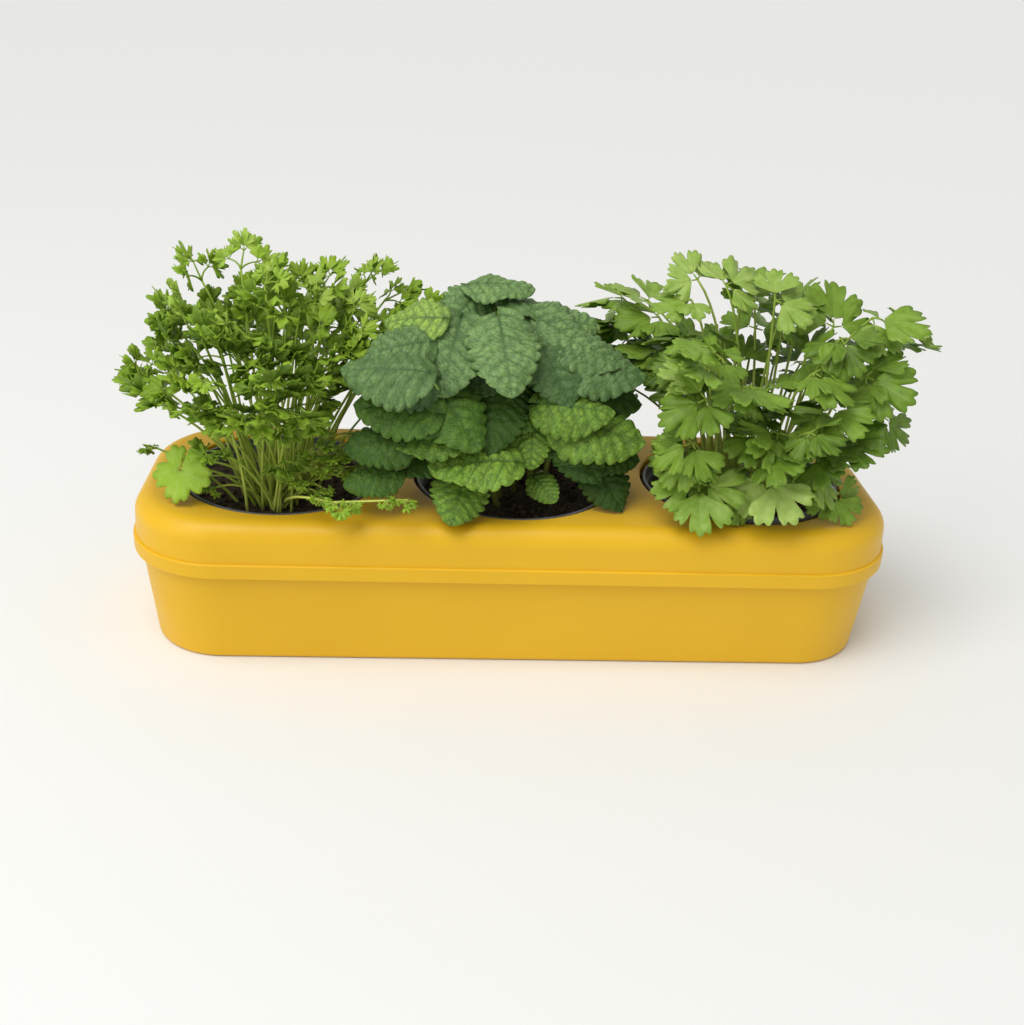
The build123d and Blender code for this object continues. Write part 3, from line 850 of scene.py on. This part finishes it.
def lemon_balm():
    """Square stems with broad quilted leaves on short stalks."""
    herb = Herb("centre", 37, 155)
    rng = herb.rng
    joints = []
    for x, y, top in BALM_STEMS:
        foot, tip = herb.foot(0.4 * x + 6, 0.45 * y - 2), herb.at(x, y, top - 4)
        handle = foot + Vector(((tip.x - foot.x) * 0.3, (tip.y - foot.y) * 0.3, (tip.z - foot.z) * 0.55))
        line = bezier(foot, handle, tip, 14)
        radii, tones = np.linspace(0.0017, 0.0010, len(line)), np.linspace(0.1, 0.9, len(line))
        tube(herb.stalks, line, radii, tones, sides=8, ribs=0.10)
        joints += list(line[2:])
    joints = np.array(joints)
    places = list(BALM_FRONT)
    for x, y, z, _ in herb.fill(40, reach=(60, 68), top=190, fall=54, deep=30, centre=(-4, 4)):
        if y < FRONT_Y:
            continue
        heading = math.degrees(math.atan2(y, x)) + rng.uniform(-30, 30)
        # Painted light and shade: the tone rises with height, so higher leaves are lighter and lower ones
        # darker
        tone = 0.16 + 0.26 * (z - 100) / 100 + rng.uniform(-0.1, 0.2)
        pitch, length, bend = rng.uniform(-4, -32), rng.uniform(36, 48), rng.uniform(0.4, 0.8)
        places.append((x, y, z, heading, pitch, length, bend, tone))
    for x, y, z, heading, pitch, length, bend, tone in places:
        length *= MM
        roll = facing(heading, y, 36) + rng.uniform(-12, 12)
        axes = leaf_axes(heading, pitch + math.degrees(bend) / 2, roll)
        base = herb.at(x, y, z) - leaf_axes(heading, pitch).col[0] * length / 2
        grid, vein = balm_leaf(length, length * rng.uniform(0.80, 0.92), bend, rng)
        grid = put(grid, axes, base)
        shift = herb.settle([grid])
        herb.mass(z * MM).add(grid + np.array(shift), tone, vein)
        base += shift
        lower = joints[joints[:, 2] < max(base.z - 0.004, joints[:, 2].min() + 0.008)]
        near = Vector(lower[np.argmin(np.linalg.norm(lower - np.array(base), axis=1))])
        handle = (near + base) / 2 + UP * 0.22 * (base - near).length
        line = bezier(near, handle, base + axes.col[0] * length * 0.04, 8)
        tube(herb.stalks, line, np.linspace(0.0010, 0.0007, 8), 0.8, sides=6)
    herb.finish(
        "lemon_balm",
        # Painted shade: the top face's vein colour is darker than its face, shade in the sunk veins and the
        # creases between the puckers
        leaf_material("lemon_balm_leaf", (0.042, 0.095, 0.024), (0.225, 0.360, 0.125), (0.36, 0.54, 0.09),
                      (0.050, 0.110, 0.030), 0.46, quilt=0.0028),
        leaf_material("lemon_balm_underside", (0.09, 0.16, 0.04), (0.22, 0.34, 0.10), (0.36, 0.50, 0.15),
                      (0.30, 0.42, 0.14), 0.6, quilt=0.0028),
        stalk_material("lemon_balm_stalk", (0.20, 0.19, 0.04), (0.28, 0.40, 0.08)),
        0.00035,
        # Painted shade: a darker copy of the top face for the lower mass of leaves, shaded by the upper ones
        leaf_material("lemon_balm_low_leaf_painted_shade", (0.018, 0.048, 0.004), (0.090, 0.182, 0.022),
                      (0.23, 0.38, 0.045), (0.040, 0.095, 0.014), 0.48, quilt=0.0028),
    )


# ---------------------------------------------------------------- soil

def lump(patch, place, radius, rng):
    """A rough crumb, a little flattened."""
    rows, columns, squash = 6, 8, 0.7
    polar = np.linspace(0.15, np.pi - 0.15, rows)[:, None]
    turn = np.linspace(0, 2 * np.pi, columns, endpoint=False)[None, :]
    size = radius * np.array([[rng.uniform(0.7, 1.2) for _ in range(columns)] for _ in range(rows)])
    x = size * np.sin(polar) * np.cos(turn)
    y = size * np.sin(polar) * np.sin(turn)
    z = size * np.cos(polar) * squash + 0 * turn
    patch.add(np.stack([x, y, z], axis=-1) + np.array(place), rng.uniform(0, 1), 0.0, tube=True)


def soil_surface(side, seed, material):
    """Crumbs and fibres heaped a few millimetres over the soil's flat face."""
    rng = random.Random(seed)
    axes = soil_top(f"soil_{side}")
    low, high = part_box(f"soil_{side}")
    radius = (high.y - low.y) / 2 - 0.0012
    patch = Patchwork()
    rings, spokes, crumbs, fibres = 26, 72, 420, 60
    r = np.linspace(0.0, 1.0, rings)[:, None] * radius
    turn = np.linspace(0, 2 * np.pi, spokes, endpoint=False)[None, :]
    x, y = r * np.cos(turn), r * np.sin(turn)
    waves = [(rng.uniform(60, 420), rng.uniform(0, math.tau), rng.uniform(0, math.tau)) for _ in range(24)]
    z = sum(np.sin(f * (x * math.cos(a) + y * math.sin(a)) + p) / (f / 60) ** 0.5 for f, a, p in waves)
    z = np.maximum(0.0011 + 0.00032 * z, 0.0002)
    z[-1] = 0.0
    patch.add_disc(np.stack([x, y, z], axis=-1), 0.4)
    for _ in range(crumbs):
        reach = radius * 0.97 * math.sqrt(rng.random())
        angle = rng.uniform(0, math.tau)
        size = 0.0006 + 0.0019 * rng.random() ** 2
        lump(patch, (reach * math.cos(angle), reach * math.sin(angle), 0.0012 + size * 0.3), size, rng)
    for _ in range(fibres):
        reach = radius * 0.85 * math.sqrt(rng.random())
        angle, turn_to = rng.uniform(0, math.tau), rng.uniform(0, math.tau)
        start = np.array((reach * math.cos(angle), reach * math.sin(angle), 0.0022))
        step = np.array((math.cos(turn_to), math.sin(turn_to), 0)) * rng.uniform(0.003, 0.008)
        lift = (rng.uniform(-0.001, 0.001), rng.uniform(-0.001, 0.001), rng.uniform(0.0008, 0.0022))
        line = bezier(start, start + step / 2 + np.array(lift), start + step, 5)
        tube(patch, line, [0.00022] * len(line), 0.9, sides=4)
    piece = patch.make(f"soil_surface_{side}", material)
    piece.data.transform(axes)
    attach(piece, f"herb_{side}")


# ---------------------------------------------------------------- light and camera

def stage():
    """A wide pale floor, soft light from above and the left, and a white surround."""
    mesh = bpy.data.meshes.new("floor")
    reach = 40.0
    corners = [(-reach, -reach, 0), (reach, -reach, 0), (reach, reach, 0), (-reach, reach, 0)]
    mesh.from_pydata(corners, [], [(0, 1, 2, 3)])
    floor = bpy.data.objects.new("floor", mesh)
    bpy.context.scene.collection.objects.link(floor)
    shader = Shader("floor")
    shader.set(Roughness=0.9, Base_Color=(0.84, 0.84, 0.82, 1))
    mesh.materials.append(shader.material)
    world = bpy.data.worlds.new("studio")
    bpy.context.scene.world = world
    world.use_nodes = True
    background = world.node_tree.nodes["Background"]
    background.inputs["Color"].default_value = (1.0, 1.0, 0.99, 1)
    background.inputs["Strength"].default_value = 0.50
    sky = bpy.data.lights.new("ceiling", "SUN")
    sky.energy, sky.angle = 1.60, math.radians(42)
    window = bpy.data.lights.new("window", "AREA")
    window.energy, window.size = 5.5, 1.0
    for light, place in ((sky, (-0.50, -0.50, 1.8)), (window, (-0.95, -0.80, 0.75))):
        lamp = bpy.data.objects.new(light.name, light)
        lamp.location = place
        lamp.rotation_mode = "QUATERNION"
        lamp.rotation_quaternion = (Vector((0, 0, 0.1)) - Vector(place)).to_track_quat("-Z", "Y")
        bpy.context.scene.collection.objects.link(lamp)


def camera():
    """Looks down on the planter's front, held a little askew."""
    yaw, pitch, roll = (math.radians(a) for a in (4.0, 25.6, 2.9))
    distance, aim = 0.789, Vector((0, 0, 0.0646))
    turn = Matrix.Rotation(-yaw, 4, "Z") @ Matrix.Rotation(math.pi / 2 - pitch, 4, "X")
    turn = turn @ Matrix.Rotation(roll, 4, "Z")
    data = bpy.data.cameras.new("camera")
    data.lens, data.sensor_width = 44.5, 36.0
    eye = bpy.data.objects.new("camera", data)
    eye.matrix_world = Matrix.Translation(aim + distance * turn.col[2].to_3d()) @ turn
    bpy.context.scene.collection.objects.link(eye)
    bpy.context.scene.camera = eye


def main():
    """Puts everything in place."""
    camera()
    stage()
    bpy.context.scene.view_settings.view_transform = "Standard"
    yellow = yellow_plastic()
    paint("reservoir_tray", yellow)
    paint("top_cover", yellow)
    paint("pot_rack", dark_plastic("rack_plastic", 0.04, 0.5))
    pots, cloth, earth = dark_plastic("pot_plastic", 0.13, 0.45), felt(), soil()
    for number, side in enumerate(POTS):
        paint(f"pot_{side}", pots)
        paint(f"wick_strip_{side}", cloth)
        paint(f"capillary_mat_{side}", cloth)
        paint(f"soil_{side}", earth)
        soil_surface(side, 70 + number, earth)
    curly_parsley()
    lemon_balm()
    flat_parsley()


main()
